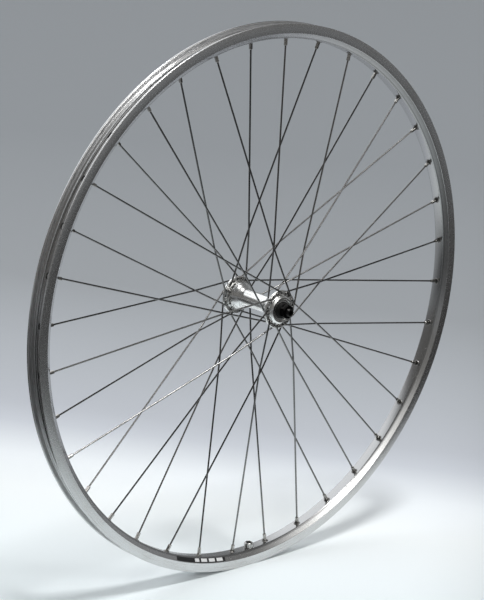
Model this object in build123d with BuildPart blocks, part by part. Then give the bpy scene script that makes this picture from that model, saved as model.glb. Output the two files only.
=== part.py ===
"""Front bicycle wheel without a tyre: rim, crossed spokes and a quick-release hub with cup-and-cone bearings.

The axle lies along Y and the origin is the middle of the wheel, so the wheel stands upright with Z up.
Angles run from +Z towards +X. Millimetres and degrees throughout.
"""

import os
from math import atan2, cos, degrees, hypot, pi, radians, sin, sqrt, tan

from build123d import *
from build123d.topology import SkipClean

# Rim section
rim_outer_radius = 317.0
rim_depth = 17.0
rim_width = 22.0
lip_height = 6.0
lip_wall = 1.7
hook_depth = 0.7
hook_height = 2.2
track_height = 10.6
track_step = 0.35
well_depth = 2.8
well_width = 10.0
well_slope = 1.8
bed_width = 12.6
side_wall = 1.5
bed_wall = 1.5
well_wall = 1.4

# Spokes, nipples and eyelets
spoke_count = 36
crossings = 3
spoke_radius = 1.0
spoke_gap = 0.12
head_overhang = 1.1
head_height = 1.3
head_taper = 25.0
elbow_size = 0.8
nipple_wall = 0.7
nipple_corner_wall = 1.0
nipple_overhang = 1.0
nipple_head_height = 0.9
nipple_length = 12.0
nipple_clearance = 0.45
flare_angle = 45.0
access_clearance = 1.25
eyelet_flange = 1.35
eyelet_height = 0.8
eyelet_taper = 30.0

# Valve collar and rim label
valve_angle = 177.5
collar_bore_radius = 3.25
sleeve_wall = 0.95
collar_flange = 1.2
collar_height = 6.2
collar_chamfer = 1.2
grip_count = 10
grip_radius = 0.7
label_offset = 8.5
label_sweep = 14.5
label_thickness = 0.15
label_margin = 0.5

# Axle set, placed from the locknut faces inwards
locknut_spacing = 100.0
locknut_width = 15.0
locknut_thickness = 6.0
locknut_chamfer = 0.8
locknut_countersink = 0.6
spacer_thickness = 2.6
axle_radius = 4.5
axle_stub = 4.0
axle_waist_depth = 0.3
thread_depth = 0.325
spacer_clearance = 0.1
axle_waist_length = 52.0
skewer_bore_radius = 2.6
cone_nose = 2.0
cone_lip = 0.9
cone_collar = 3.0
cone_neck_step = 1.5
cone_flat_depth = 0.9
seal_gap = 0.4
seal_cover = 0.7
seal_lip = 1.0
seal_draft = 0.9

# Bearings
ball_count = 10
ball_radius = 2.38125
ball_gap = 0.18
race_gap = 0.05
race_shoulder = 10.0
cup_wall = 1.0
cup_mouth = 2.6
cup_lip = 0.8
dust_cap_step = 1.2
dust_cap_recess = 0.8
dust_cap_length = 2.8
dust_cap_wall = 0.8
dust_cap_gap = 0.6

# Hub shell
shell_inset = 10.2
flange_inset = 15.0
flange_thickness = 3.2
flange_height = 5.2
hole_edge = 3.0
hole_clearance = 0.4
barrel_length = 30.0
barrel_wall = 2.55
bell_wall = 4.9
bell_length = 3.5
end_wall = 1.7
dome_rise = 2.5

# Pitches round the wheel, and the angle at which a turned outline is drawn
spoke_pitch = 360 / spoke_count
flange_pitch = 2 * spoke_pitch
set_pitch = 2 * flange_pitch
flange_size = spoke_count // 2
set_size = flange_size // 2
outline_angle = 90.0
seam_pitches = 8
arc_count = 6

# Radii worked out from the sizes above
bead_seat_radius = rim_outer_radius - lip_height
well_radius = bead_seat_radius - well_depth
brake_track_radius = rim_outer_radius - track_height
bed_radius = rim_outer_radius - rim_depth
seat_radius = bed_radius + bed_wall
head_radius = spoke_radius + head_overhang
nipple_corner_radius = spoke_radius + nipple_corner_wall
nipple_flat_width = 2 * (spoke_radius + nipple_wall)
nipple_head_radius = nipple_corner_radius + nipple_overhang
nipple_hole_radius = nipple_corner_radius + nipple_clearance
access_hole_radius = nipple_head_radius + access_clearance
eyelet_radius = nipple_hole_radius + eyelet_flange
valve_hole_radius = collar_bore_radius + sleeve_wall
collar_radius = valve_hole_radius + collar_flange
race_radius = ball_radius + race_gap
pitch_radius = (ball_radius + ball_gap / 2) / sin(pi / ball_count)
cup_radius = pitch_radius + race_radius + cup_wall
dust_cap_radius = cup_radius + dust_cap_step
shell_bore_radius = pitch_radius - cup_lip
barrel_radius = shell_bore_radius + barrel_wall
bell_radius = cup_radius + bell_wall
shell_end_radius = dust_cap_radius + end_wall
dome_radius = shell_end_radius + dome_rise
flange_radius = dome_radius + flange_height
hole_circle_radius = flange_radius - hole_edge
spoke_hole_radius = spoke_radius + hole_clearance
cone_radius = pitch_radius + cone_lip
cone_neck_radius = cone_radius - cone_neck_step
cone_flat_width = 2 * (cone_neck_radius - cone_flat_depth)
seal_radius = cone_radius + seal_cover
seal_end_radius = seal_radius - seal_draft
thread_radius = axle_radius - thread_depth
axle_waist_radius = thread_radius - axle_waist_depth

# Places along the axle worked out from the sizes above
locknut_end = locknut_spacing / 2
locknut_start = locknut_end - locknut_thickness
cone_end = locknut_start - spacer_thickness
shell_end = locknut_end - shell_inset
flange_place = locknut_end - flange_inset
flange_inside = flange_place - flange_thickness / 2
flange_outside = flange_place + flange_thickness / 2
dust_cap_end = shell_end - dust_cap_recess
dust_cap_start = dust_cap_end - dust_cap_length
cup_end = dust_cap_start - dust_cap_gap
ball_place = cup_end - cup_mouth
cup_start = ball_place - race_radius - cup_wall
race_centre = (pitch_radius, ball_place)
race_sweep = 90 + race_shoulder
cone_neck_start = ball_place + race_radius + cone_collar
seal_start = dust_cap_end + seal_gap

os.makedirs("parts", exist_ok=True)


def save(piece, label):
    """Label a finished piece and write it."""
    piece.label = label
    export_step(piece, f"parts/{label}.step")


def save_pair(piece, label):
    """Write a piece made for the far end of the hub, at +Y, and its mirror image for the near end."""
    save(piece, f"{label}_far")
    save(mirror(piece, about=Plane.XZ), f"{label}_near")


def turned_ring(outline):
    """Turn a closed outline of (radius, place along the axle) points round the axle."""
    with BuildPart() as turned:
        with BuildSketch(Plane.XY):
            with BuildLine():
                Polyline(*outline, close=True)
            make_face()
        revolve(axis=Axis.Y)
    return turned.part


def round_the_wheel(pieces, start, count, pitch):
    """Copy pieces that stand at the top of the wheel to every place of a pattern."""
    places = [start + number * pitch for number in range(count)]
    return [piece.rotate(Axis.Y, place) for place in places for piece in pieces]


# Rim: a hollow hoop with hooked side walls, machined brake tracks and a dropped well
half_width = rim_width / 2
half_bed = bed_width / 2
half_floor = well_width / 2
half_ledge = half_floor + well_slope
lip_face = half_width - lip_wall
bevel_side = half_width - track_step
bevel_radius = brake_track_radius - track_step
cavity_side = bevel_side - side_wall
cavity_roof = well_radius - well_wall
ledge_under = bead_seat_radius - well_wall

# The hoop is drawn in arcs, and their seams lie halfway between two spoke holes
seam = Plane.XY.rotated((0, valve_angle - seam_pitches * spoke_pitch - outline_angle, 0))
arc_sweep = 360 / arc_count

with BuildPart() as hoop_arc:
    with BuildSketch(seam):
        with BuildLine():
            Polyline(
                (bed_radius, 0),
                (bed_radius, half_bed),
                (bevel_radius, bevel_side),
                (brake_track_radius, half_width),
                (rim_outer_radius, half_width),
                (rim_outer_radius, lip_face),
                (rim_outer_radius - hook_height / 2, lip_face - hook_depth),
                (rim_outer_radius - hook_height, lip_face),
                (bead_seat_radius, lip_face),
                (bead_seat_radius, half_ledge),
                (well_radius, half_floor),
                (well_radius, 0),
                close=True,
            )
        make_face()
        with BuildLine():
            Polyline(
                (seat_radius, 0),
                (seat_radius, half_bed - bed_wall / 2),
                (bevel_radius, cavity_side),
                (ledge_under, cavity_side),
                (ledge_under, half_ledge - well_wall / 2),
                (cavity_roof, half_floor - well_wall / 2),
                (cavity_roof, 0),
                close=True,
            )
        make_face(mode=Mode.SUBTRACT)
        mirror(about=Plane.XZ)
    revolve(axis=Axis.Y, revolution_arc=arc_sweep)

spoke_places = [valve_angle + (number + 0.5) * spoke_pitch for number in range(spoke_count)]
outward_planes = [Plane.XY.rotated((0, place, 0)) for place in spoke_places]
with SkipClean(), BuildPart() as rim:
    add(round_the_wheel([hoop_arc.part], 0, arc_count, arc_sweep), clean=False)
    for outward in outward_planes:
        with BuildSketch(outward.offset(bed_radius + bed_wall / 2)):
            Circle(nipple_hole_radius)
    extrude(amount=bed_wall, both=True, clean=False, mode=Mode.SUBTRACT)
    for outward in outward_planes:
        with BuildSketch(outward.offset(well_radius - well_wall / 2)):
            Circle(access_hole_radius)
    extrude(amount=well_wall, both=True, clean=False, mode=Mode.SUBTRACT)
    with BuildSketch(Plane.XY.rotated((0, valve_angle, 0)).offset((bed_radius + well_radius) / 2)):
        Circle(valve_hole_radius)
    extrude(amount=well_radius - bed_radius, both=True, clean=False, mode=Mode.SUBTRACT)
save(rim.part, "rim")

# Eyelets: flared rings round the spoke holes, each seated on the hollow of the bed
eyelet_seat = Plane.XY.offset(sqrt(bed_radius**2 - eyelet_radius**2))
with BuildPart() as eyelet:
    with BuildSketch(eyelet_seat):
        Circle(eyelet_radius)
    extrude(amount=-eyelet_height, taper=eyelet_taper)
    with BuildSketch(eyelet_seat):
        Circle(nipple_hole_radius)
    extrude(amount=-eyelet_height, mode=Mode.SUBTRACT)
with BuildPart() as eyelets:
    add(round_the_wheel([eyelet.part], spoke_places[0], spoke_count, spoke_pitch))
save(eyelets.part, "eyelets")

# Valve collar: a sleeve in the valve hole with a grooved grip on the hub side
collar_seat = Plane.XY.offset(sqrt(bed_radius**2 - collar_radius**2))
sleeve_length = seat_radius - collar_seat.origin.Z
with BuildPart() as collar:
    with BuildSketch(collar_seat):
        Circle(collar_radius)
    extrude(amount=-collar_height)
    chamfer(collar.faces().sort_by(Axis.Z)[0].edges(), collar_chamfer)
    with BuildSketch(collar_seat):
        with PolarLocations(collar_radius, grip_count):
            Circle(grip_radius)
    extrude(amount=-collar_height, mode=Mode.SUBTRACT)
    with BuildSketch(collar_seat):
        Circle(valve_hole_radius)
    extrude(amount=sleeve_length)
    with BuildSketch(Plane.XY.offset(seat_radius)):
        Circle(collar_bore_radius)
    extrude(amount=-sleeve_length - collar_height, mode=Mode.SUBTRACT)
save(collar.part.rotate(Axis.Y, valve_angle), "valve_collar")

# Rim label: a thin blank strip on the near bevel, beside the valve
bevel_rise = bevel_radius - bed_radius
bevel_run = bevel_side - half_bed
bevel_middle = (bed_radius + bevel_rise / 2, -half_bed - bevel_run / 2)
with BuildPart() as label:
    with BuildSketch(Plane.XY):
        with Locations(Location(bevel_middle, degrees(atan2(-bevel_run, bevel_rise)))):
            label_width = hypot(bevel_rise, bevel_run) - 2 * label_margin
            Rectangle(label_width, label_thickness, align=(Align.CENTER, Align.MAX))
    revolve(axis=Axis.Y, revolution_arc=label_sweep)
save(label.part.rotate(Axis.Y, valve_angle + label_offset - outline_angle), "rim_label")

# Spoke lines, for a spoke that meets the rim at the top and hooks into the far flange
hub_turn = crossings * flange_pitch
hole_across = hole_circle_radius * sin(radians(hub_turn))
hole_up = hole_circle_radius * cos(radians(hub_turn))
plan_length = hypot(hole_across, seat_radius - hole_up)

# Share of the way from rim to hub where neighbours of one flange cross for the last time
half_pitch = tan(radians(spoke_pitch))
cross_share = seat_radius * half_pitch / (hole_across + (seat_radius - hole_up) * half_pitch)
cross_across = cross_share * hole_across
cross_up = seat_radius - cross_share * (seat_radius - hole_up)

# Inner spokes lie along the inside of the flange, and outer ones just clear its outer edge
lean = atan2(cross_share * flange_place, cross_share * plan_length)
cross_gap = (2 * spoke_radius + spoke_gap) / cos(lean)
inner_run = flange_inside - spoke_radius - spoke_gap
hole_reach = (hole_up * (seat_radius - hole_up) - hole_across**2) / plan_length
edge_reach = sqrt(hole_reach**2 + flange_radius**2 - hole_circle_radius**2) - hole_reach
edge_share = edge_reach / ((1 - cross_share) * plan_length)
outer_rest = flange_outside + spoke_radius + spoke_gap
outer_lift = edge_share * (cross_gap - cross_share * inner_run) / 2
outer_run = (outer_rest + outer_lift) / (1 - edge_share + edge_share * cross_share / 2)
cross_place = cross_share * (inner_run + outer_run) / 2


def spoke_line(outer):
    """Give the elbow, the interlaced crossing and the nipple seat of an outer or an inner spoke."""
    side = 1 if outer else -1
    elbow = Vector(side * hole_across, outer_run if outer else inner_run, hole_up)
    crossing = Vector(side * cross_across, cross_place - side * cross_gap / 2, cross_up)
    return elbow, crossing, Vector(0, 0, seat_radius)


def nipple_seat(outer):
    """Give the plane across a nipple where its flare starts, lifted until it meets the edge of its hole."""
    _, crossing, seat = spoke_line(outer)
    along = (seat - crossing).normalized()
    tilt = atan2(hypot(along.X, along.Y), along.Z)
    spread = nipple_hole_radius * cos(tilt) - nipple_corner_radius
    lift = nipple_hole_radius * sin(tilt) - spread / tan(radians(flare_angle))
    return Plane(origin=seat + along * lift, z_dir=along)


def make_spoke(outer):
    """Make a spoke with its head, its elbow and the slight bend where it is interlaced."""
    elbow, crossing, seat = spoke_line(outer)
    head_face = flange_inside if outer else flange_outside
    foot = Vector(elbow.X, head_face, elbow.Z)
    into_flange = Vector(0, 1 if outer else -1, 0)
    run = (crossing - elbow).normalized()
    flare = nipple_seat(outer)
    path = [foot, elbow - into_flange * elbow_size, elbow + run * elbow_size, crossing, flare.origin]
    with BuildPart() as spoke:
        with BuildLine():
            Polyline(*path)
        with BuildSketch(Plane(origin=foot, z_dir=into_flange)):
            Circle(spoke_radius)
        sweep(transition=Transition.RIGHT)
        with BuildSketch(Plane(origin=foot, z_dir=-into_flange)):
            Circle(head_radius)
        extrude(amount=head_height, taper=head_taper)
    return spoke.part


def make_nipple(outer):
    """Make a nipple on the line of its spoke: squared shank, flared seat, round head and spoke bore."""
    flare = nipple_seat(outer)
    flare_height = (nipple_head_radius - nipple_corner_radius) / tan(radians(flare_angle))
    shank_length = nipple_length - flare_height - nipple_head_height
    with BuildPart() as nipple:
        with BuildSketch(flare):
            Circle(nipple_corner_radius)
            Rectangle(nipple_flat_width, nipple_flat_width, mode=Mode.INTERSECT)
        extrude(amount=-shank_length)
        with BuildSketch(flare):
            Circle(nipple_corner_radius)
        extrude(amount=flare_height, taper=-flare_angle)
        with BuildSketch(flare.offset(flare_height)):
            Circle(nipple_head_radius)
        extrude(amount=nipple_head_height)
        with BuildSketch(flare.offset(-shank_length)):
            Circle(spoke_radius)
        extrude(amount=nipple_length, mode=Mode.SUBTRACT)
    return nipple.part


# Spokes and nipples: the four sets follow one another round the rim, starting beside the valve
nipple_pieces = []
for set_number, (outer, far) in enumerate([(True, False), (True, True), (False, False), (False, True)]):
    spoke = make_spoke(outer)
    nipple = make_nipple(outer)
    if not far:
        spoke = mirror(spoke, about=Plane.XZ)
        nipple = mirror(nipple, about=Plane.XZ)
    start = valve_angle + (set_number + 0.5) * spoke_pitch
    nipple_pieces += round_the_wheel([nipple], start, set_size, set_pitch)
    for number, piece in enumerate(round_the_wheel([spoke], start, set_size, set_pitch)):
        save(piece, f"spoke_{4 * number + set_number + 1:02d}")
with BuildPart() as nipples:
    add(nipple_pieces)
save(nipples.part, "nipples")

# Hub shell: slim barrel, bell-shaped ends, drilled flanges and stepped bearing bores
barrel_end = barrel_length / 2
bell_start = flange_inside - bell_length
bend_middle = ((barrel_radius + bell_radius) / 2, (barrel_end + bell_start) / 2)
with BuildPart() as hub_shell:
    with BuildSketch(Plane.XY):
        with BuildLine():
            barrel = Polyline((shell_bore_radius, 0), (barrel_radius, 0), (barrel_radius, barrel_end))
            hollow = TangentArc(barrel @ 1, bend_middle, tangent=(0, 1))
            bulge = TangentArc(hollow @ 1, (bell_radius, bell_start), tangent=hollow % 1)
            flange = Polyline(
                bulge @ 1,
                (bell_radius, flange_inside),
                (flange_radius, flange_inside),
                (flange_radius, flange_outside),
                (dome_radius, flange_outside),
            )
            dome = TangentArc(flange @ 1, (shell_end_radius, shell_end), tangent=(0, 1))
            Polyline(
                dome @ 1,
                (dust_cap_radius, shell_end),
                (dust_cap_radius, dust_cap_start),
                (cup_radius, dust_cap_start),
                (cup_radius, cup_start),
                (shell_bore_radius, cup_start),
                (shell_bore_radius, 0),
            )
        make_face()
        mirror(about=Plane.XZ)
    revolve(axis=Axis.Y)
    for place, start in ((-flange_outside, 0.5), (flange_inside, 1.5)):
        with BuildSketch(Plane.ZX.offset(place)):
            with PolarLocations(hole_circle_radius, flange_size, valve_angle + start * spoke_pitch):
                Circle(spoke_hole_radius)
    extrude(amount=flange_thickness, mode=Mode.SUBTRACT)
save(hub_shell.part, "hub_shell")

# Bearing cups: pressed into the shell, with a rounded race that faces outwards
with BuildPart() as cup:
    with BuildSketch(Plane.XY):
        with BuildLine():
            race = CenterArc(race_centre, race_radius, race_shoulder, -race_sweep)
            mouth = race @ 0
            lip = race @ 1
            Polyline(
                mouth,
                (mouth.X, cup_end),
                (cup_radius, cup_end),
                (cup_radius, cup_start),
                (shell_bore_radius, cup_start),
                (shell_bore_radius, lip.Y),
                lip,
            )
        make_face()
    revolve(axis=Axis.Y)
save_pair(cup.part, "bearing_cup")

# Balls: a full ring in each bearing
with BuildPart() as balls:
    for place in (-ball_place, ball_place):
        with Locations(Plane.ZX.offset(place)):
            with PolarLocations(pitch_radius, ball_count):
                Sphere(ball_radius)
save(balls.part, "balls")

# Cones: screwed onto the axle, with the inner race, a collar and a neck with spanner flats
with BuildPart() as cone:
    with BuildSketch(Plane.XY):
        with BuildLine():
            race = CenterArc(race_centre, race_radius, 180 + race_shoulder, -race_sweep)
            nose = race @ 0
            shoulder = race @ 1
            Polyline(
                nose,
                (nose.X, ball_place - cone_nose),
                (thread_radius, ball_place - cone_nose),
                (thread_radius, cone_end),
                (cone_neck_radius, cone_end),
                (cone_neck_radius, cone_neck_start),
                (cone_radius, cone_neck_start),
                (cone_radius, shoulder.Y),
                shoulder,
            )
        make_face()
    revolve(axis=Axis.Y)
    with BuildSketch(Plane.ZX.offset(cone_neck_start)):
        Circle(cone_radius)
        Rectangle(cone_flat_width, 2 * cone_radius, mode=Mode.SUBTRACT)
    extrude(amount=cone_end - cone_neck_start, mode=Mode.SUBTRACT)
save_pair(cone.part, "cone")

# Dust caps: dished rings that close the shell round the cones
dust_cap_bore = cone_radius + dust_cap_gap
dust_cap_outline = [
    (dust_cap_radius, dust_cap_start),
    (dust_cap_radius, dust_cap_end),
    (dust_cap_bore, dust_cap_end),
    (dust_cap_bore, dust_cap_end - dust_cap_wall),
    (dust_cap_radius - dust_cap_wall, dust_cap_end - dust_cap_wall),
    (dust_cap_radius - dust_cap_wall, dust_cap_start),
]
save_pair(turned_ring(dust_cap_outline), "dust_cap")

# Seals: rubber boots on the cone necks, with a lip in front of the dust cap
seal_outline = [
    (cone_neck_radius, seal_start),
    (seal_radius, seal_start),
    (seal_radius, seal_start + seal_lip),
    (seal_end_radius, locknut_start),
    (cone_neck_radius, locknut_start),
]
save_pair(turned_ring(seal_outline), "seal")

# Spacers between the cones and the locknuts
spacer_bore = axle_radius + spacer_clearance
spacer_outline = [
    (spacer_bore, cone_end),
    (cone_neck_radius, cone_end),
    (cone_neck_radius, locknut_start),
    (spacer_bore, locknut_start),
]
save_pair(turned_ring(spacer_outline), "spacer")

# Locknuts: six-sided, with the outer face chamfered
with BuildPart() as locknut:
    with BuildSketch(Plane.ZX.offset(locknut_start)):
        RegularPolygon(locknut_width / 2, 6, major_radius=False)
    extrude(amount=locknut_thickness)
    chamfer(locknut.faces().sort_by(Axis.Y)[-1].edges(), locknut_chamfer)
    with BuildSketch(Plane.ZX.offset(locknut_start)):
        Circle(thread_radius)
    extrude(amount=locknut_thickness, mode=Mode.SUBTRACT)
    outer_face = locknut.faces().sort_by(Axis.Y)[-1]
    chamfer(outer_face.inner_wires().edges(), locknut_countersink)
save_pair(locknut.part, "locknut")

# Axle: hollow for the skewer, with bare ends, a waist between the bearings and engaged threads at mean radius
half_axle = locknut_end + axle_stub
half_waist = axle_waist_length / 2
axle_outline = [
    (skewer_bore_radius, -half_axle),
    (axle_radius, -half_axle),
    (axle_radius, -locknut_end),
    (thread_radius, -locknut_end),
    (thread_radius, -half_waist),
    (axle_waist_radius, -half_waist),
    (axle_waist_radius, half_waist),
    (thread_radius, half_waist),
    (thread_radius, locknut_end),
    (axle_radius, locknut_end),
    (axle_radius, half_axle),
    (skewer_bore_radius, half_axle),
]
save(turned_ring(axle_outline), "axle")
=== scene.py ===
"""Dress a front bicycle wheel: hoop, lacing, hub and axle ends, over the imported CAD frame.

Sizes are in millimetres and angles in degrees, and meshes are made in metres. The axle lies along Y, the
photographed side faces -Y, and angles round the axle run from +Z towards +X.
"""

from __future__ import annotations

import logging
from collections.abc import Iterator
from contextlib import contextmanager
from dataclasses import dataclass
from enum import Enum
from itertools import pairwise
from math import asin, atan2, cos, hypot, pi, radians, sin, sqrt, tan

import bpy
from mathutils import Matrix, Vector

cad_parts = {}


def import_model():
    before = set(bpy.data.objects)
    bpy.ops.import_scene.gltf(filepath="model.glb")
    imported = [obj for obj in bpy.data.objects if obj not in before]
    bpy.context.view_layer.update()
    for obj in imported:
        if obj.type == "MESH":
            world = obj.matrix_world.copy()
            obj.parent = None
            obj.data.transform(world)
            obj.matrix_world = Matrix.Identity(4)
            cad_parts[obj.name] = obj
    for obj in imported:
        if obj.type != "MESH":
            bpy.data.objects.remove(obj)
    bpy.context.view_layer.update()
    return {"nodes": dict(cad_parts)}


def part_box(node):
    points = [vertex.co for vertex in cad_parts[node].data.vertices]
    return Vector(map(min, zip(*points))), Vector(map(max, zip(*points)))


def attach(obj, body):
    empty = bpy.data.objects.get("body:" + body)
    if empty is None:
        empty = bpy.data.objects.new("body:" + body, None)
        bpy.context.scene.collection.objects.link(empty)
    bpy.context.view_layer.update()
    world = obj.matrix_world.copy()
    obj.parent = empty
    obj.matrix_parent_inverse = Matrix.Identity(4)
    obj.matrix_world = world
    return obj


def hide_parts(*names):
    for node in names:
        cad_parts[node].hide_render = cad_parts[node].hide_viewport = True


LOG = logging.getLogger("wheel")
MM = 0.001
MERGE_DISTANCE = 1e-6
SEAM_DISTANCE = 1e-5
CORNER_SHARE = 0.49
RING_STEPS = 96

Colour = tuple[float, float, float]
Corner = tuple[float, float, float]
Piece = bpy.types.Object


class Line(Enum):
    """The line that a piece is turned round."""

    AXLE = (0.0, 1.0, 0.0)
    SPOKE = (0.0, 0.0, 1.0)

    def point(self, out: float, along: float) -> Vector:
        """Give the place that is so far out from the line and along it."""
        return Vector((out, 0, 0)) + Vector(self.value) * along


class Body(Enum):
    """The CAD bodies that pieces ride on."""

    WHEEL = "wheel"
    AXLE_SET = "axle_set"


class Side(Enum):
    """The two ends of the axle; near faces the camera."""

    NEAR = -1
    FAR = 1

    @property
    def word(self) -> str:
        """Give the end's name as it is written in the names of pieces."""
        return self.name.lower()


class Cut(Enum):
    """How a tool piece shapes another piece."""

    AWAY = "DIFFERENCE"
    ONTO = "UNION"


def bent(points: list[Vector], bends: list[float], steps: int, closed: bool = False) -> list[Vector]:
    """Round the corners of a line of points with arcs.

    Args:
        points: the corners, in order.
        bends: the arc radius at each corner, 0 for a sharp one.
        steps: straight pieces in each arc.
        closed: whether the last corner joins the first.

    Returns:
        The points of the rounded line.
    """
    line = []
    count = len(points)
    for number, (here, bend) in enumerate(zip(points, bends)):
        inside = closed or 0 < number < count - 1
        if bend == 0 or not inside:
            line.append(here.copy())
            continue
        back = points[number - 1] - here
        ahead = points[(number + 1) % count] - here
        half = back.angle(ahead) / 2
        reach = min(bend / tan(half), back.length * CORNER_SHARE, ahead.length * CORNER_SHARE)
        radius = reach * tan(half)
        middle = here + (back.normalized() + ahead.normalized()).normalized() * (radius / sin(half))
        first = here + back.normalized() * reach - middle
        last = here + ahead.normalized() * reach - middle
        for step in range(steps + 1):
            line.append(middle + first.slerp(last, step / steps).normalized() * radius)
    return line


class Bench:
    """Modelling moves that the sub-assemblies share."""

    ARC_STEPS = 4
    WIRE_STEPS = 6
    EASE_STEPS = 2
    SLICE = {"use_fill": True, "clear_outer": True, "threshold": MERGE_DISTANCE}
    SAME_DIRECTION = 0.999
    SAME_PLANE = 0.01

    @staticmethod
    def pick(*pieces: Piece) -> None:
        """Select some pieces alone.

        Args:
            pieces: the pieces, the first of which is made active.
        """
        bpy.ops.object.select_all(action="DESELECT")
        for piece in pieces:
            piece.select_set(True)
        if pieces:
            bpy.context.view_layer.objects.active = pieces[0]

    @classmethod
    @contextmanager
    def editing(cls, piece: Piece) -> Iterator[None]:
        """Open a piece's mesh with all of it selected, and close it afterwards.

        Args:
            piece: the piece.

        Returns:
            A with statement's context, which gives nothing.
        """
        cls.pick(piece)
        bpy.ops.object.mode_set(mode="EDIT")
        bpy.ops.mesh.select_all(action="SELECT")
        yield
        bpy.ops.object.mode_set(mode="OBJECT")

    @staticmethod
    def weld(distance: float = MERGE_DISTANCE) -> None:
        """Merge the doubled points of the open mesh."""
        bpy.ops.mesh.select_all(action="SELECT")
        bpy.ops.mesh.remove_doubles(threshold=distance)

    @classmethod
    def turned(cls, name: str, corners: list[Corner], line: Line, steps: int, sweep: float = 360) -> Piece:
        """Spin a closed outline round a line.

        Args:
            name: the piece's name.
            corners: (out, along, bend) of each corner in millimetres.
            line: the line to turn round.
            steps: straight pieces in the turn.
            sweep: the angle turned through, in degrees.

        Returns:
            The closed piece.
        """
        points = [line.point(out, along) * MM for out, along, _ in corners]
        outline = bent(points, [bend * MM for _, _, bend in corners], cls.ARC_STEPS, closed=True)
        cls.pick()
        bpy.ops.mesh.primitive_plane_add(size=MM)
        piece = bpy.context.object
        piece.name = name
        with cls.editing(piece):
            bpy.ops.mesh.merge(type="CENTER")
            bpy.ops.transform.translate(value=outline[0])
            for here, there in pairwise(outline + outline[:1]):
                bpy.ops.mesh.extrude_vertices_move(TRANSFORM_OT_translate={"value": there - here})
            cls.weld()
            bpy.ops.mesh.spin(steps=steps, angle=radians(sweep), center=(0, 0, 0), axis=line.value)
            cls.weld()
            if sweep < 360:
                bpy.ops.mesh.fill_holes(sides=0)
            bpy.ops.mesh.normals_make_consistent(inside=False)
        return piece

    @classmethod
    def swept(cls, name: str, path: list[Vector], radius: float) -> Piece:
        """Draw a round wire along a path.

        Args:
            name: the piece's name.
            path: the wire's middle line, in metres.
            radius: the wire's radius, in millimetres.

        Returns:
            The wire as a closed mesh.
        """
        cls.pick()
        bpy.ops.curve.primitive_bezier_curve_add()
        bpy.context.object.name = name
        curve = bpy.context.object.data
        curve.splines.clear()
        spline = curve.splines.new("POLY")
        spline.points.add(len(path) - 1)
        for point, place in zip(spline.points, path):
            point.co = (*place, 1)
        curve.bevel_depth = radius * MM
        curve.bevel_resolution = cls.WIRE_STEPS
        curve.use_fill_caps = True
        bpy.ops.object.convert(target="MESH")
        cls.seal(bpy.context.object)
        return bpy.context.object

    @classmethod
    def seal(cls, piece: Piece, distance: float = MERGE_DISTANCE) -> None:
        """Merge a piece's doubled points and point its faces outwards.

        Args:
            piece: the piece.
            distance: how far apart doubled points may be, in metres.
        """
        with cls.editing(piece):
            cls.weld(distance)
            bpy.ops.mesh.normals_make_consistent(inside=False)

    @classmethod
    def flatten(cls, piece: Piece, normal: Vector, distance: float) -> None:
        """Slice a flat on a piece, facing a direction at a distance in millimetres from the origin."""
        with cls.editing(piece):
            bpy.ops.mesh.bisect(plane_co=normal * distance * MM, plane_no=normal, **cls.SLICE)

    @classmethod
    def flatten_round(cls, piece: Piece, axis: str, count: int, distance: float) -> None:
        """Slice equal flats all round a piece.

        Args:
            piece: the piece.
            axis: the letter of the axis that the flats go round.
            count: how many flats there are.
            distance: how far each is from the axis, in millimetres.
        """
        for number in range(count):
            turn = Matrix.Rotation(2 * pi * number / count, 3, axis)
            cls.flatten(piece, turn @ Vector((1, 0, 0)), distance)

    @classmethod
    def copied(cls, piece: Piece, name: str, place: Matrix) -> Piece:
        """Copy a piece with a mesh of its own.

        Args:
            piece: the piece.
            name: the copy's name.
            place: the move from the piece to the copy.

        Returns:
            The copy.
        """
        copy = piece.copy()
        copy.data = piece.data.copy()
        copy.name = name
        bpy.context.collection.objects.link(copy)
        copy.data.transform(place)
        if place.determinant() < 0:
            copy.data.flip_normals()
        return copy

    @classmethod
    def joined(cls, name: str, pieces: list[Piece]) -> Piece:
        """Join pieces into one.

        Args:
            name: the joined piece's name.
            pieces: the pieces, which are used up.

        Returns:
            The joined piece.
        """
        cls.pick(*pieces)
        bpy.ops.object.join()
        pieces[0].name = name
        return pieces[0]

    @classmethod
    def scattered(cls, piece: Piece, name: str, places: list[Matrix]) -> Piece:
        """Join copies of a piece.

        Args:
            piece: the piece, which is used up.
            name: the joined piece's name.
            places: the move from the piece to each copy.

        Returns:
            The joined copies.
        """
        copies = [cls.copied(piece, name, place) for place in places]
        bpy.data.objects.remove(piece)
        return cls.joined(name, copies)

    @classmethod
    def change(cls, piece: Piece, kind: str, **settings: object) -> None:
        """Put a modifier on a piece and apply it.

        Args:
            piece: the piece.
            kind: the modifier's type.
            settings: its properties.
        """
        cls.pick(piece)
        modifier = piece.modifiers.new(kind.lower(), kind)
        for name, setting in settings.items():
            setattr(modifier, name, setting)
        bpy.ops.object.modifier_apply(modifier=modifier.name)

    @classmethod
    def shape(cls, piece: Piece, tool: Piece, cut: Cut) -> None:
        """Cut or fuse a piece with a tool piece, which is used up."""
        cls.change(piece, "BOOLEAN", operation=cut.value, solver="EXACT", object=tool)
        bpy.data.objects.remove(tool)

    @classmethod
    def ease(cls, piece: Piece, width: float, angle: float) -> None:
        """Round a piece's edges that are sharper than an angle, by a width in millimetres."""
        edges = {"limit_method": "ANGLE", "angle_limit": radians(angle)}
        cls.change(piece, "BEVEL", width=width * MM, segments=cls.EASE_STEPS, **edges)

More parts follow.
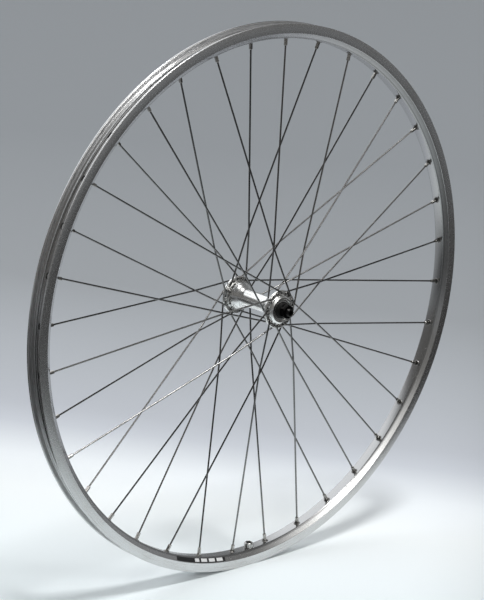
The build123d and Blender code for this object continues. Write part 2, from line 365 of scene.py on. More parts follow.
    @classmethod
    def open_end(cls, piece: Piece, normal: Vector) -> None:
        """Delete a piece's faces that lie in a plane through the origin.

        Args:
            piece: the piece.
            normal: the direction that the plane faces.
        """
        with cls.editing(piece):
            bpy.ops.mesh.select_all(action="DESELECT")
        for face in piece.data.polygons:
            facing = abs(face.normal.dot(normal)) > cls.SAME_DIRECTION
            face.select = facing and abs(face.center.dot(normal)) < cls.SAME_PLANE * MM
        bpy.ops.object.mode_set(mode="EDIT")
        bpy.ops.mesh.delete(type="FACE")
        bpy.ops.object.mode_set(mode="OBJECT")

    @classmethod
    def smooth(cls, piece: Piece, angle: float = 32) -> None:
        """Clear a piece of slivers and shade it smooth.

        Args:
            piece: the piece.
            angle: edges that are sharper than this stay sharp.
        """
        with cls.editing(piece):
            cls.weld()
            bpy.ops.mesh.dissolve_degenerate(threshold=MERGE_DISTANCE)
            bpy.ops.mesh.delete_loose()
            bpy.ops.mesh.select_all(action="SELECT")
            bpy.ops.mesh.normals_make_consistent(inside=False)
        bpy.ops.object.shade_smooth_by_angle(angle=radians(angle))


def round_axle(angle: float) -> Matrix:
    """Turn from the top of the wheel to an angle round the axle."""
    return Matrix.Rotation(radians(angle), 4, "Y")


def both_sides(far: list[Corner]) -> list[Corner]:
    """Close an outline that is drawn for the far side with its mirror image on the near side."""
    return far + [(out, -along, bend) for out, along, bend in reversed(far)]


def end_ring(name: str, corners: list[Corner], side: Side) -> Piece:
    """Turn a ring at one end of the axle from the outline of the one at the far end."""
    placed = [(out, along * side.value, bend) for out, along, bend in corners]
    return Bench.turned(f"{name}_{side.word}", placed, Line.AXLE, RING_STEPS)


class Value:
    """A shader socket that Python arithmetic can be done on."""

    def __init__(self, shader: Shader, socket: bpy.types.NodeSocket) -> None:
        """Wrap a socket of a shader."""
        self.shader = shader
        self.socket = socket

    def maths(self, operation: str, *values: Value | float) -> Value:
        """Add a Math node with its operation and its inputs in order."""
        return self.shader.add("Math", {"operation": operation}, dict(enumerate(values)))

    def __add__(self, other: Value | float) -> Value:
        """Add."""
        return self.maths("ADD", self, other)

    __radd__ = __add__

    def __sub__(self, other: Value | float) -> Value:
        """Subtract."""
        return self.maths("SUBTRACT", self, other)

    def __rsub__(self, other: float) -> Value:
        """Subtract from a number."""
        return self.maths("SUBTRACT", other, self)

    def __mul__(self, other: Value | float) -> Value:
        """Multiply."""
        return self.maths("MULTIPLY", self, other)

    __rmul__ = __mul__

    def __truediv__(self, other: Value | float) -> Value:
        """Divide."""
        return self.maths("DIVIDE", self, other)

    def __abs__(self) -> Value:
        """Drop the sign."""
        return self.maths("ABSOLUTE", self)

    def root(self) -> Value:
        """Take the square root."""
        return self.maths("SQRT", self)

    def wave(self) -> Value:
        """Take the sine."""
        return self.maths("SINE", self)

    def most(self, other: Value | float) -> Value:
        """Take the larger of two."""
        return self.maths("MAXIMUM", self, other)

    def angle_to(self, other: Value) -> Value:
        """Give the angle whose sine is this and whose cosine is the other."""
        return self.maths("ARCTAN2", self, other)

    def rise(self, low: float, high: float) -> Value:
        """Go smoothly from 0 at one value to 1 at another."""
        settings = {"interpolation_type": "SMOOTHSTEP"}
        return self.shader.add("MapRange", settings, {"Value": self, "From Min": low, "From Max": high})

    def fall(self, low: float, high: float) -> Value:
        """Go smoothly from 1 at one value to 0 at another."""
        return 1 - self.rise(low, high)


class Shader:
    """A node tree with one method that adds any node."""

    def __init__(self, tree: bpy.types.NodeTree) -> None:
        """Start from an empty tree."""
        self.tree = tree
        tree.nodes.clear()

    def add(
        self, kind: str, settings: dict[str, object], inputs: dict[str | int, object], output: int = 0
    ) -> Value:
        """Add a node.

        Args:
            kind: the node's type, without its ShaderNode prefix.
            settings: properties set first; "stops" are a colour ramp's (position, colour) pairs.
            inputs: values or links by socket name or number.
            output: the number of the output to give back.

        Returns:
            One of the node's outputs.
        """
        node = self.tree.nodes.new("ShaderNode" + kind)
        for name, setting in settings.items():
            if name == "stops":
                self.fill_ramp(node.color_ramp, setting)
            else:
                setattr(node, name, setting)
        for name, value in inputs.items():
            socket = node.inputs[name]
            if isinstance(value, Value):
                self.tree.links.new(value.socket, socket)
            elif isinstance(value, tuple) and socket.type == "RGBA":
                socket.default_value = (*value, 1)
            else:
                socket.default_value = value
        return Value(self, node.outputs[output]) if node.outputs else Value(self, None)

    @staticmethod
    def fill_ramp(ramp: bpy.types.ColorRamp, stops: list[tuple[float, Colour]]) -> None:
        """Set a colour ramp's stops.

        Args:
            ramp: the ramp.
            stops: the position and colour of each stop.
        """
        while len(ramp.elements) < len(stops):
            ramp.elements.new(1)
        for element, (position, colour) in zip(ramp.elements, stops):
            element.position = position
            element.color = (*colour, 1)

    def place(self) -> Value:
        """Give the place on the object."""
        return self.add("TexCoord", {}, {}, output=3)

    def parts(self, vector: Value) -> tuple[Value, ...]:
        """Split a vector into x, y and z."""
        outputs = self.add("SeparateXYZ", {}, {0: vector}).socket.node.outputs
        return tuple(Value(self, output) for output in outputs)

    def joined(self, x: Value | float, y: Value | float, z: Value | float) -> Value:
        """Make a vector from x, y and z."""
        return self.add("CombineXYZ", {}, {0: x, 1: y, 2: z})

    def grain(self, size: float, detail: float = 3, vector: Value | None = None) -> Value:
        """Give a cloudy pattern round 0.5, with its clouds' size in millimetres and its finer layers."""
        inputs = {"Vector": vector or self.place(), "Scale": 1 / (size * MM), "Detail": detail}
        return self.add("TexNoise", {}, inputs)

    def mixed(self, share: Value | float, first: Value | Colour, second: Value | Colour) -> Value:
        """Mix two colours."""
        settings = {"data_type": "RGBA"}
        return self.add("Mix", settings, {0: share, 6: first, 7: second}, output=2)

    def bumps(self, height: Value, depth: float, strength: float) -> Value:
        """Turn a height pattern of 0 to 1 into a normal, with its depth in millimetres."""
        return self.add("Bump", {}, {"Height": height, "Distance": depth * MM, "Strength": strength})

    def coat(self, **inputs: Value | Colour | float) -> Value:
        """Make a surface from inputs that are named with underscores for spaces."""
        named = {name.replace("_", " "): value for name, value in inputs.items()}
        return self.add("BsdfPrincipled", {}, named)

    def close(self, surface: Value, kind: str = "OutputMaterial") -> None:
        """Send a surface to the output."""
        self.add(kind, {}, {"Surface": surface})


class Finish:
    """A material that is drawn by its subclass."""

    def material(self) -> bpy.types.Material:
        """Make the material, unless it is made already.

        Returns:
            The material.
        """
        name = type(self).__name__
        if name in bpy.data.materials:
            return bpy.data.materials[name]
        material = bpy.data.materials.new(name)
        material.use_nodes = True
        shader = Shader(material.node_tree)
        shader.close(self.surface(shader))
        return material

    def surface(self, shader: Shader) -> Value:
        """Draw the surface in a shader."""
        raise NotImplementedError

    def dress(self, piece: Piece) -> None:
        """Put the material on a piece."""
        piece.data.materials.clear()
        piece.data.materials.append(self.material())


@dataclass(frozen=True)
class RimAlloy(Finish):
    """Satin aluminium hoop with turned brake tracks, brake dust, fine handling marks, and a darker bed
    whose colour is painted shade.
    """

    silver: Colour = (0.66, 0.66, 0.66)
    worn: Colour = (0.60, 0.595, 0.585)
    # painted shade: the bed's darker colour dims its reflection
    bed: Colour = (0.42, 0.42, 0.42)
    dust: Colour = (0.28, 0.245, 0.21)
    bed_end: float = 302.0
    track_start: float = 306.3
    track_side: float = 10.8
    lip_side: float = 9.5
    lip_start: float = 311.6
    lip_end: float = 316.4
    groove_pitch: float = 0.42
    streak: float = 3.2
    cloud: float = 38.0
    speck: float = 1.3
    smoothest: float = 0.21

    def surface(self, shader: Shader) -> Value:
        """Draw the surface.

        Args:
            shader: the tree to draw in.

        Returns:
            The finished surface.
        """
        x, y, z = shader.parts(shader.place())
        radius = (x * x + z * z).root() / MM
        side = abs(y) / MM
        on_track = side.rise(self.track_side - 0.05, self.track_side + 0.05)
        track = radius.rise(self.track_start - 0.1, self.track_start + 0.1) * on_track
        turn = x.angle_to(z)
        round_place = shader.joined(turn * 0.02, radius * 0.004, side * 0.004)
        streaks = shader.grain(self.streak, 4, round_place)
        clouds = shader.grain(self.cloud, 4)
        specks = shader.grain(self.speck, 2)
        wear = (clouds - 0.42) * 1.6
        base = shader.mixed(wear.rise(0, 1) * 0.5, self.silver, self.worn)
        # inside bed_end the hoop takes the darker bed colour, painted shade that dims the bed's reflection
        base = shader.mixed(radius.fall(self.bed_end - 0.3, self.bed_end + 0.3), base, self.bed)
        dusty = track * (streaks.rise(0.46, 0.72) * 0.22 + clouds.rise(0.45, 0.7) * 0.10)
        base = shader.mixed(dusty + specks.rise(0.68, 0.76) * 0.08, base, self.dust)
        grooves = (radius * (2 * pi / self.groove_pitch)).wave() * 0.5 + 0.5
        between = side.fall(self.lip_side, self.lip_side + 0.4)
        channel = radius.rise(self.track_start, self.track_start + 0.5) * between
        wall = channel * radius.rise(self.lip_start, self.lip_start + 0.6)
        wall = wall * radius.fall(self.lip_end - 0.2, self.lip_end + 0.2)
        rough = self.smoothest + clouds * 0.05 + track * streaks * 0.06 - channel * 0.07
        rough = rough + specks.rise(0.6, 0.75) * 0.04 + wall * 0.24
        normal = shader.bumps(grooves * track, 0.012, 0.5)
        return shader.coat(Base_Color=base, Metallic=1.0, Roughness=rough, Normal=normal)


@dataclass(frozen=True)
class HubAlloy(Finish):
    """Polished aluminium with faint turning lines, smudges, and a spotty dark ring round the flanges' spoke
    holes that is dirt and painted shade.
    """

    bright: Colour = (0.88, 0.88, 0.87)
    smudge: Colour = (0.70, 0.69, 0.67)
    # dirt and painted shade round the flanges' spoke holes
    grime_and_shade: Colour = (0.16, 0.145, 0.13)
    line_pitch: float = 0.35
    hole_circle: float = 19.03
    flange_side: float = 35.0
    cloud: float = 16.0
    spot: float = 0.9
    smoothest: float = 0.20

    def surface(self, shader: Shader) -> Value:
        """Draw the surface.

        Args:
            shader: the tree to draw in.

        Returns:
            The finished surface.
        """
        x, y, z = shader.parts(shader.place())
        radius = (x * x + z * z).root() / MM
        side = abs(y) / MM
        clouds = shader.grain(self.cloud, 2)
        spots = shader.grain(self.spot, 3)
        lines = ((radius + side) * (2 * pi / self.line_pitch)).wave() * 0.5 + 0.5
        base = shader.mixed(clouds.rise(0.40, 0.75) * 0.4, self.bright, self.smudge)
        # spotty darkening round the spoke holes on the flanges, where the spoke heads sit: dirt and painted
        # shade
        ring = abs(radius - self.hole_circle).fall(0.6, 3.0) * abs(side - self.flange_side).fall(1.0, 3.4)
        base = shader.mixed(ring * spots.rise(0.45, 0.7) * 0.45, base, self.grime_and_shade)
        rough = self.smoothest + clouds * 0.06 + ring * 0.08 + spots.rise(0.6, 0.75) * 0.04
        normal = shader.bumps(lines, 0.004, 0.35)
        return shader.coat(Base_Color=base, Metallic=1.0, Roughness=rough, Normal=normal)


@dataclass(frozen=True)
class PlainMetal(Finish):
    """Bare metal with dull patches and fine pits.

    The patches' size is in millimetres, and they are rougher than the smoothest metal by the spread.
    """

    bright: Colour
    dull: Colour
    smoothest: float
    spread: float
    patch: float
    pitting: float = 0.25

    def surface(self, shader: Shader) -> Value:
        """Draw the surface.

        Args:
            shader: the tree to draw in.

        Returns:
            The finished surface.
        """
        clouds = shader.grain(self.patch, 4)
        pits = shader.grain(self.patch / 8, 3)
        tarnish = clouds.rise(0.40, 0.72) * 0.7 + pits.rise(0.55, 0.75) * 0.3
        base = shader.mixed(tarnish, self.bright, self.dull)
        rough = self.smoothest + tarnish * self.spread
        normal = shader.bumps(pits, 0.015, self.pitting)
        return shader.coat(Base_Color=base, Metallic=1.0, Roughness=rough, Normal=normal)


@dataclass(frozen=True)
class SpokeSteel(PlainMetal):
    """Drawn stainless wire, bright with dull patches."""

    bright: Colour = (0.19, 0.188, 0.185)
    dull: Colour = (0.13, 0.127, 0.123)
    smoothest: float = 0.15
    spread: float = 0.05
    patch: float = 40.0
    pitting: float = 0.0


@dataclass(frozen=True)
class NipplePlate(PlainMetal):
    """Nickel plate over brass, spotted."""

    bright: Colour = (0.46, 0.45, 0.43)
    dull: Colour = (0.20, 0.185, 0.165)
    smoothest: float = 0.18
    spread: float = 0.20
    patch: float = 2.2


@dataclass(frozen=True)
class EyeletSteel(PlainMetal):
    """Dull pressed steel with dirt in it."""

    bright: Colour = (0.26, 0.253, 0.245)
    dull: Colour = (0.07, 0.065, 0.06)
    smoothest: float = 0.27
    spread: float = 0.22
    patch: float = 1.6


@dataclass(frozen=True)
class CollarAlloy(PlainMetal):
    """Turned aluminium, handled until dull."""

    bright: Colour = (0.50, 0.495, 0.485)
    dull: Colour = (0.27, 0.26, 0.247)
    smoothest: float = 0.22
    spread: float = 0.18
    patch: float = 2.4


@dataclass(frozen=True)
class BearingSteel(PlainMetal):
    """Ground and hardened steel with a film of grease."""

    bright: Colour = (0.56, 0.555, 0.55)
    dull: Colour = (0.34, 0.30, 0.24)
    smoothest: float = 0.16
    spread: float = 0.25
    patch: float = 3.0


@dataclass(frozen=True)
class BlackSteel(PlainMetal):
    """Blackened steel, rubbed a little in patches."""

    bright: Colour = (0.014, 0.0135, 0.0135)
    dull: Colour = (0.006, 0.006, 0.006)
    smoothest: float = 0.30
    spread: float = 0.20
    patch: float = 2.0


@dataclass(frozen=True)
class AxleSteel(PlainMetal):
    """Dark oiled steel."""

    bright: Colour = (0.034, 0.033, 0.032)
    dull: Colour = (0.012, 0.012, 0.0115)
    smoothest: float = 0.28
    spread: float = 0.22
    patch: float = 2.0


@dataclass(frozen=True)
class SealRubber(Finish):
    """Black moulded rubber with a dusty bloom."""

    black: Colour = (0.004, 0.004, 0.004)
    bloom: Colour = (0.009, 0.0088, 0.0085)
    cloud: float = 3.5
    pore: float = 0.25
    smoothest: float = 0.42

    def surface(self, shader: Shader) -> Value:
        """Draw the surface.

        Args:
            shader: the tree to draw in.

        Returns:
            The finished surface.
        """
        clouds = shader.grain(self.cloud, 4)
        pores = shader.grain(self.pore, 2)
        base = shader.mixed(clouds.rise(0.45, 0.75), self.black, self.bloom)
        rough = self.smoothest + clouds * 0.25
        normal = shader.bumps(pores, 0.02, 0.4)
        return shader.coat(Base_Color=base, Roughness=rough, Normal=normal, Specular_IOR_Level=0.25)


@dataclass(frozen=True)
class LabelFilm(Finish):
    """Glossy black film with plain white bars, scuffed here and there."""

    start: float
    sweep: float
    black: Colour = (0.010, 0.010, 0.011)
    white: Colour = (0.74, 0.74, 0.74)
    scuff: Colour = (0.30, 0.29, 0.28)
    low: float = 301.5
    high: float = 304.7
    blur: float = 0.1
    scratch: float = 0.8
    smoothest: float = 0.22

    def surface(self, shader: Shader) -> Value:
        """Draw the surface.

        Args:
            shader: the tree to draw in.

        Returns:
            The finished surface.
        """
        x, _, z = shader.parts(shader.place())
        radius = (x * x + z * z).root() / MM
        turn = (0 - x).angle_to(0 - z) * (180 / pi) + 180
        along = (turn - self.start) / self.sweep
        dark = (0.0, 0.0, 0.0)
        light = (1.0, 1.0, 1.0)
        stops = [(0.0, dark), (0.05, light), (0.17, dark), (0.21, light), (0.33, dark), (0.37, light)]
        stops += [(0.49, dark), (0.53, light), (0.62, dark)]
        bars = shader.add("ValToRGB", {"stops": stops}, {0: along})
        bars.socket.node.color_ramp.interpolation = "CONSTANT"
        middle = radius.rise(self.low, self.low + self.blur) * radius.fall(self.high, self.high + self.blur)
        scuffs = shader.grain(self.scratch, 4)
        shown = shader.mixed(middle, dark, bars)
        base = shader.mixed(shader.add("RGBToBW", {}, {0: shown}), self.black, self.white)
        base = shader.mixed(scuffs.rise(0.6, 0.75) * 0.35, base, self.scuff)
        return shader.coat(Base_Color=base, Roughness=self.smoothest + scuffs * 0.25)


def hand_over(piece: Piece, finish: Finish, body: Body, slot: str, *nodes: str) -> None:
    """Dress a piece and tie it to the frame.

    Args:
        piece: the finished piece.
        finish: its finish.
        body: the body that it rides on.
        slot: the record's material slot; not used.
        nodes: the CAD nodes that it stands for.
    """
    finish.dress(piece)
    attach(piece, body.value)
    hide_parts(*nodes)
    LOG.info("%s: %d faces", piece.name, len(piece.data.polygons))


@dataclass
class Wheel:
    """The sizes that several sub-assemblies work from."""

    spoke_count: int = 36
    valve_angle: float = 177.5
    bed: float = 300.0
    seat: float = 301.5
    nipple_hole: float = 2.45
    hole_circle: float = 19.03
    flange: float = 22.03
    flange_inside: float = 33.4
    flange_outside: float = 36.6

    def spoke_turns(self) -> list[Matrix]:
        """Give the turns from the top of the wheel to the spoke holes, starting next to the valve."""
        pitch = 360 / self.spoke_count
        return [round_axle(self.valve_angle + (number + 0.5) * pitch) for number in range(self.spoke_count)]


@dataclass
class Hoop(Wheel):
    """The rim with its label."""

    outer: float = 317.0
    half_width: float = 11.0
    lip_face: float = 9.3
    hook: float = 0.7
    hook_height: float = 2.2
    bead_seat: float = 311.0
    half_ledge: float = 6.3
    well: float = 308.2
    half_floor: float = 5.2
    track: float = 306.4
    track_step: float = 0.35
    half_bed: float = 6.3
    wall: float = 1.5
    sector_steps: int = 12
    sector_lead: float = 0.75
    overshoot: float = 0.1
    drill_reach: float = 2.0
    drill_steps: int = 32
    access_hole: float = 4.25
    valve_hole: float = 4.2
    label_start: float = 186.0
    label_sweep: float = 14.5
    label_margin: float = 0.5
    label_lift: float = 1.2
    label_thickness: float = 0.15
    label_steps: int = 60

    def outline(self) -> list[Corner]:
        """Draw the hoop's section.

        Returns:
            Its corners, on the far side and then on the near side.
        """
        far = [
            (self.bed, self.half_bed, 2.2),
            (self.track - self.track_step, self.half_width - self.track_step, 0.5),
            (self.track, self.half_width, 0.12),
            (self.outer, self.half_width, 0.6),
            (self.outer, self.lip_face, 0.6),
            (self.outer - self.hook_height / 2, self.lip_face - self.hook, 0.7),
            (self.outer - self.hook_height, self.lip_face, 0.5),
            (self.bead_seat, self.lip_face, 0.8),
            (self.bead_seat, self.half_ledge, 0.5),
            (self.well, self.half_floor, 0.8),
        ]
        return both_sides(far)

    def hollow(self) -> list[Corner]:
        """Draw the chamber inside the hoop.

        Returns:
            Its corners, on the far side and then on the near side.
        """
        roof = self.well - self.wall
        ledge = self.bead_seat - self.wall
        far = [
            (self.bed + self.wall, self.half_bed - self.wall / 2, 0),
            (self.track - self.track_step, self.half_width - self.track_step - self.wall, 0),
            (ledge, self.half_width - self.track_step - self.wall, 0),
            (ledge, self.half_ledge - self.wall / 2, 0),
            (roof, self.half_floor - self.wall / 2, 0),
        ]
        return both_sides(far)

    def drill(self, radius: float, low: float, high: float, place: float) -> Piece:
        """Make a drill that points at the hub.

        Args:
            radius: the drill's radius.
            low: the wheel's radius at the first wall that it goes through.
            high: the wheel's radius at the last one.
            place: its angle.

        Returns:
            The tool piece.
        """
        start = low - self.drill_reach
        end = high + self.drill_reach
        corners = [(0, start, 0), (radius, start, 0), (radius, end, 0), (0, end, 0)]
        drill = Bench.turned("drill", corners, Line.SPOKE, self.drill_steps)
        drill.data.transform(round_axle(place))
        return drill

    def build(self) -> None:
        """Make the rim and its label and dress them."""
        plain = self.sector(with_valve=False)
        holed = self.sector(with_valve=True)
        turns = self.spoke_turns()
        sectors = [Bench.copied(plain, "sector", turn) for turn in turns[:-1]]
        sectors.append(Bench.copied(holed, "sector", turns[-1]))
        bpy.data.objects.remove(plain)
        bpy.data.objects.remove(holed)
        rim = Bench.joined("rim_hoop", sectors)
        Bench.seal(rim, SEAM_DISTANCE)
        Bench.smooth(rim)
        hand_over(rim, RimAlloy(), Body.WHEEL, "rim_alloy", "rim")
        self.build_label()

    def sector(self, with_valve: bool) -> Piece:
        """Make one spoke's share of the hoop at the top, drilled and open at both ends.

        Args:
            with_valve: whether the valve hole is in it too.

        Returns:
            The sector.
        """
        pitch = 360 / self.spoke_count
        sector = Bench.turned("sector", self.outline(), Line.AXLE, self.sector_steps, pitch)
        chamber_sweep = pitch * (1 + 2 * self.overshoot)
        chamber = Bench.turned("chamber", self.hollow(), Line.AXLE, self.sector_steps, chamber_sweep)
        chamber.data.transform(round_axle(pitch * self.overshoot))
        Bench.shape(sector, chamber, Cut.AWAY)
        sector.data.transform(round_axle(pitch * self.sector_lead - 90))
        bed = self.bed + self.wall / 2
        well = self.well - self.wall / 2
        drills = [self.drill(self.nipple_hole, bed, bed, 0), self.drill(self.access_hole, well, well, 0)]
        if with_valve:
            drills.append(self.drill(self.valve_hole, bed, well, pitch / 2))
        for drill in drills:
            Bench.shape(sector, drill, Cut.AWAY)
        for share in (self.sector_lead, self.sector_lead - 1):
            Bench.open_end(sector, round_axle(pitch * share) @ Vector((1, 0, 0)))
        return sector

    def build_label(self) -> None:
        """Lay a thin film on the near bevel of the hoop."""
        low = Vector((self.bed, -self.half_bed))
        high = Vector((self.track - self.track_step, -self.half_width + self.track_step))
        slope = (high - low).normalized()
        proud = Vector((slope.y, -slope.x)) * self.label_thickness
        start = low + slope * (self.label_margin + self.label_lift)
        end = high - slope * self.label_margin
        corners = [start, end, end + proud, start + proud]
        outline = [(corner.x, corner.y, 0.0) for corner in corners]
        film = Bench.turned("rim_film", outline, Line.AXLE, self.label_steps, self.label_sweep)
        film.data.transform(round_axle(self.label_start - 90 + self.label_sweep))
        Bench.smooth(film)
        finish = LabelFilm(self.label_start, self.label_sweep)
        hand_over(film, finish, Body.WHEEL, "label_film", "rim_label")


@dataclass
class Lacing(Wheel):
    """Spokes, nipples and eyelets, crossed three times with the outermost crossing interlaced."""

    hub_turn: float = 60.0
    wire: float = 1.0
    gap: float = 0.12
    head: float = 2.1
    head_height: float = 1.3
    head_bevel: float = 0.25
    head_shoulder: float = 0.6
    head_flat: float = 0.9
    head_steps: int = 24
    nipple_corner: float = 2.0
    nipple_flat: float = 1.7
    nipple_head: float = 3.0
    nipple_steps: int = 40
    overlap: float = 0.6
    mouth_depth: float = 0.5
    mouth_flare: float = 0.25
    mouth_edge: float = 0.55
    mouth_chamfer: float = 0.7
    flare_start: float = 1.0
    flare_end: float = 1.5
    flare_top: float = 1.9
    flare_bevel: float = 0.7
    flare_steps: int = 24
    slot_floor: float = 1.2
    slot_top: float = 3.0
    slot_reach: float = 9.0
    half_slot: float = 0.5
    shank: float = 10.1
    eyelet: float = 3.8
    eyelet_height: float = 0.8
    eyelet_sink: float = 0.3
    eyelet_wall: float = 0.3
    eyelet_crown: float = 0.7
    eyelet_edge: float = 0.15
    eyelet_overlap: float = 0.05
    eyelet_steps: int = 28
    elbow_bend: float = 1.9
    crossing_bend: float = 90.0
    bend_steps: int = 8

    def run(self, outer: bool) -> tuple[Vector, Vector, Vector, Vector]:
        """Work out the line of a far spoke that meets the rim at the top.

        Args:
            outer: whether its elbow lies outside the flange.

        Returns:
            Its foot in the flange, elbow, crossing and seat on the rim, in millimetres.
        """
        hole_across = self.hole_circle * sin(radians(self.hub_turn))
        hole_up = self.hole_circle * cos(radians(self.hub_turn))
        rise = self.seat - hole_up
        plan_length = hypot(hole_across, rise)
        half_pitch = tan(radians(360 / self.spoke_count))
        share = self.seat * half_pitch / (hole_across + rise * half_pitch)
        flange_place = (self.flange_inside + self.flange_outside) / 2
        lean = atan2(flange_place, plan_length)
        cross_gap = (2 * self.wire + self.gap) / cos(lean)
        inner_run = self.flange_inside - self.wire - self.gap
        reach = (hole_up * rise - hole_across**2) / plan_length
        edge = sqrt(reach**2 + self.flange**2 - self.hole_circle**2) - reach
        edge_share = edge / ((1 - share) * plan_length)
        outer_rest = self.flange_outside + self.wire + self.gap
        outer_lift = edge_share * (cross_gap - share * inner_run) / 2
        outer_run = (outer_rest + outer_lift) / (1 - edge_share + edge_share * share / 2)
        cross_place = share * (inner_run + outer_run) / 2
        side = 1 if outer else -1
        elbow = Vector((side * hole_across, outer_run if outer else inner_run, hole_up))
        cross_side = cross_place - side * cross_gap / 2
        crossing = Vector((side * share * hole_across, cross_side, self.seat - share * rise))
        foot = Vector((elbow.x, self.flange_inside if outer else self.flange_outside, elbow.z))
        return foot, elbow, crossing, Vector((0, 0, self.seat))

    def nipple_place(self, outer: bool) -> Matrix:
        """Place the nipple of a far spoke at the top.

        Args:
            outer: whether the spoke's elbow lies outside the flange.

        Returns:
            The nipple's place, with Z along the wire.
        """
        _, _, crossing, seat = self.run(outer)
        along = (seat - crossing).normalized()
        tilt = atan2(hypot(along.x, along.y), along.z)
        spread = self.nipple_hole * cos(tilt) - self.nipple_corner
        lift = self.nipple_hole * sin(tilt) - spread
        across = Vector((0, 1, 0)).cross(along).normalized()
        turn = Matrix((across, along.cross(across), along)).transposed().to_4x4()
        return Matrix.Translation((seat + along * lift) * MM) @ turn

    def wire_piece(self, outer: bool) -> Piece:
        """Bend one far spoke at the top, with its head.

        Args:
            outer: whether its elbow lies outside the flange.

        Returns:
            The spoke.
        """
        foot, elbow, crossing, _ = self.run(outer)
        end = self.nipple_place(outer).translation / MM
        corners = [point * MM for point in (foot, elbow, crossing, end)]
        path = bent(corners, [0, self.elbow_bend * MM, self.crossing_bend * MM, 0], self.bend_steps)
        wire = Bench.swept("wire", path, self.wire)
        away = -1 if outer else 1
        dome = [
            (0, 0, 0),
            (self.head, 0, 0.15),
            (self.head - self.head_bevel, away * self.head_height * self.head_shoulder, 0.5),
            (self.head_flat, away * self.head_height, 0.3),
            (0, away * self.head_height, 0),
        ]
        head = Bench.turned("head", dome, Line.AXLE, self.head_steps)
        head.data.transform(Matrix.Translation(foot * MM))
        Bench.shape(wire, head, Cut.ONTO)
        Bench.smooth(wire, angle=40)
        return wire

    def nipple_piece(self) -> Piece:
        """Make one nipple.

        Returns:
            A squared shank with a round mouth, and a flared head with a slot.
        """
        mouth = -self.shank
        tube = [
            (self.wire, self.overlap, 0),
            (self.wire, mouth + self.mouth_depth, 0),
            (self.wire + self.mouth_flare, mouth, 0.12),
            (self.wire + self.mouth_edge, mouth, 0.2),
            (self.nipple_corner, mouth + self.mouth_chamfer, 0.2),
            (self.nipple_corner, self.overlap, 0),
        ]
        shank = Bench.turned("shank", tube, Line.SPOKE, self.nipple_steps)
        Bench.flatten_round(shank, "Z", 4, self.nipple_flat)
        flare = [
            (0, 0, 0),
            (self.nipple_corner, 0, 0),
            (self.nipple_head, self.flare_start, 0.15),
            (self.nipple_head, self.flare_end, 0.4),
            (self.nipple_head - self.flare_bevel, self.flare_top, 0.3),
            (0, self.flare_top, 0),
        ]
        head = Bench.turned("head", flare, Line.SPOKE, self.flare_steps)
        block = [
            (0, self.slot_floor, 0),
            (self.slot_reach, self.slot_floor, 0),
            (self.slot_reach, self.slot_top, 0),
            (0, self.slot_top, 0),
        ]
        slot = Bench.turned("slot", block, Line.SPOKE, 4)
        for across in (1, -1):
            Bench.flatten(slot, Vector((across, 0, 0)), self.half_slot)
        Bench.shape(head, slot, Cut.AWAY)
        Bench.shape(shank, head, Cut.ONTO)
        Bench.smooth(shank, angle=28)
        return shank

    def eyelet_piece(self) -> Piece:
        """Make one eyelet at the top.

        Returns:
            A rolled ring on the bed with a collar down the hole.
        """
        base = sqrt(self.bed**2 - self.eyelet**2)
        top = base - self.eyelet_height
        corners = [
            (self.nipple_hole, base + self.eyelet_sink, 0),
            (self.nipple_hole, top, 0.35),
            (self.nipple_hole + self.eyelet_crown, top, 0.3),
            (self.eyelet, base - self.eyelet_edge, 0.3),
            (self.eyelet, base + self.eyelet_overlap, 0),
            (self.nipple_hole + self.eyelet_wall, base + self.eyelet_sink, 0),
        ]
        ring = Bench.turned("eyelet", corners, Line.SPOKE, self.eyelet_steps)
        Bench.smooth(ring, angle=40)
        return ring

    def build(self) -> None:
        """Make and dress every spoke, the nipples and the eyelets."""
        mirror = Matrix.Scale(-1, 4, (0, 1, 0))
        wires = {outer: self.wire_piece(outer) for outer in (True, False)}
        nipple = self.nipple_piece()
        nipple_places = []
        turns = self.spoke_turns()
        for number, turn in enumerate(turns):
            kind = number % 4
            outer = kind < 2
            place = turn @ mirror if kind % 2 == 0 else turn
            wire = Bench.copied(wires[outer], f"wire_{number + 1:02d}", place)
            nipple_places.append(place @ self.nipple_place(outer))
            hand_over(wire, SpokeSteel(), Body.WHEEL, "spoke_steel", f"spoke_{number + 1:02d}")
        for wire in wires.values():
            bpy.data.objects.remove(wire)
        nipples = Bench.scattered(nipple, "spoke_nipples", nipple_places)
        hand_over(nipples, NipplePlate(), Body.WHEEL, "nipple_plate", "nipples")
        eyelets = Bench.scattered(self.eyelet_piece(), "eyelet_rings", turns)
        hand_over(eyelets, EyeletSteel(), Body.WHEEL, "eyelet_steel", "eyelets")


@dataclass
class ValveCollar(Wheel):
    """The grooved collar that holds the valve on the bed."""

    radius: float = 5.4
    bore: float = 3.25
    sleeve: float = 4.2
    height: float = 6.2
    chamfer: float = 1.2
    grip_count: int = 10
    grip: float = 0.7
    grip_end: float = 0.6
    grip_reach: float = 1.0
    grip_steps: int = 20
    steps: int = 60

    def build(self) -> None:
        """Make the collar and dress it."""
        base = sqrt(self.bed**2 - self.radius**2)
        top = base - self.height
        corners = [
            (self.bore, self.seat, 0.2),
            (self.bore, top, 0.5),
            (self.radius - self.chamfer, top, 0.6),
            (self.radius, top + self.chamfer, 0.6),
            (self.radius, base, 0.15),
            (self.sleeve, base, 0),
            (self.sleeve, self.seat, 0.2),
        ]
        collar = Bench.turned("valve_nut", corners, Line.SPOKE, self.steps)
        start = top - self.grip_reach
        end = base - self.grip_end
        bar = [(0, start, 0), (self.grip, start, 0), (self.grip, end, 0.5), (0, end, 0)]
        groove = Bench.turned("groove", bar, Line.SPOKE, self.grip_steps)
        groove.data.transform(Matrix.Translation((self.radius * MM, 0, 0)))
        count = self.grip_count
        turns = [Matrix.Rotation(2 * pi * number / count, 4, "Z") for number in range(count)]
        Bench.shape(collar, Bench.scattered(groove, "grooves", turns), Cut.AWAY)
        collar.data.transform(round_axle(self.valve_angle))
        Bench.smooth(collar, angle=30)
        hand_over(collar, CollarAlloy(), Body.WHEEL, "collar_alloy", "valve_collar")


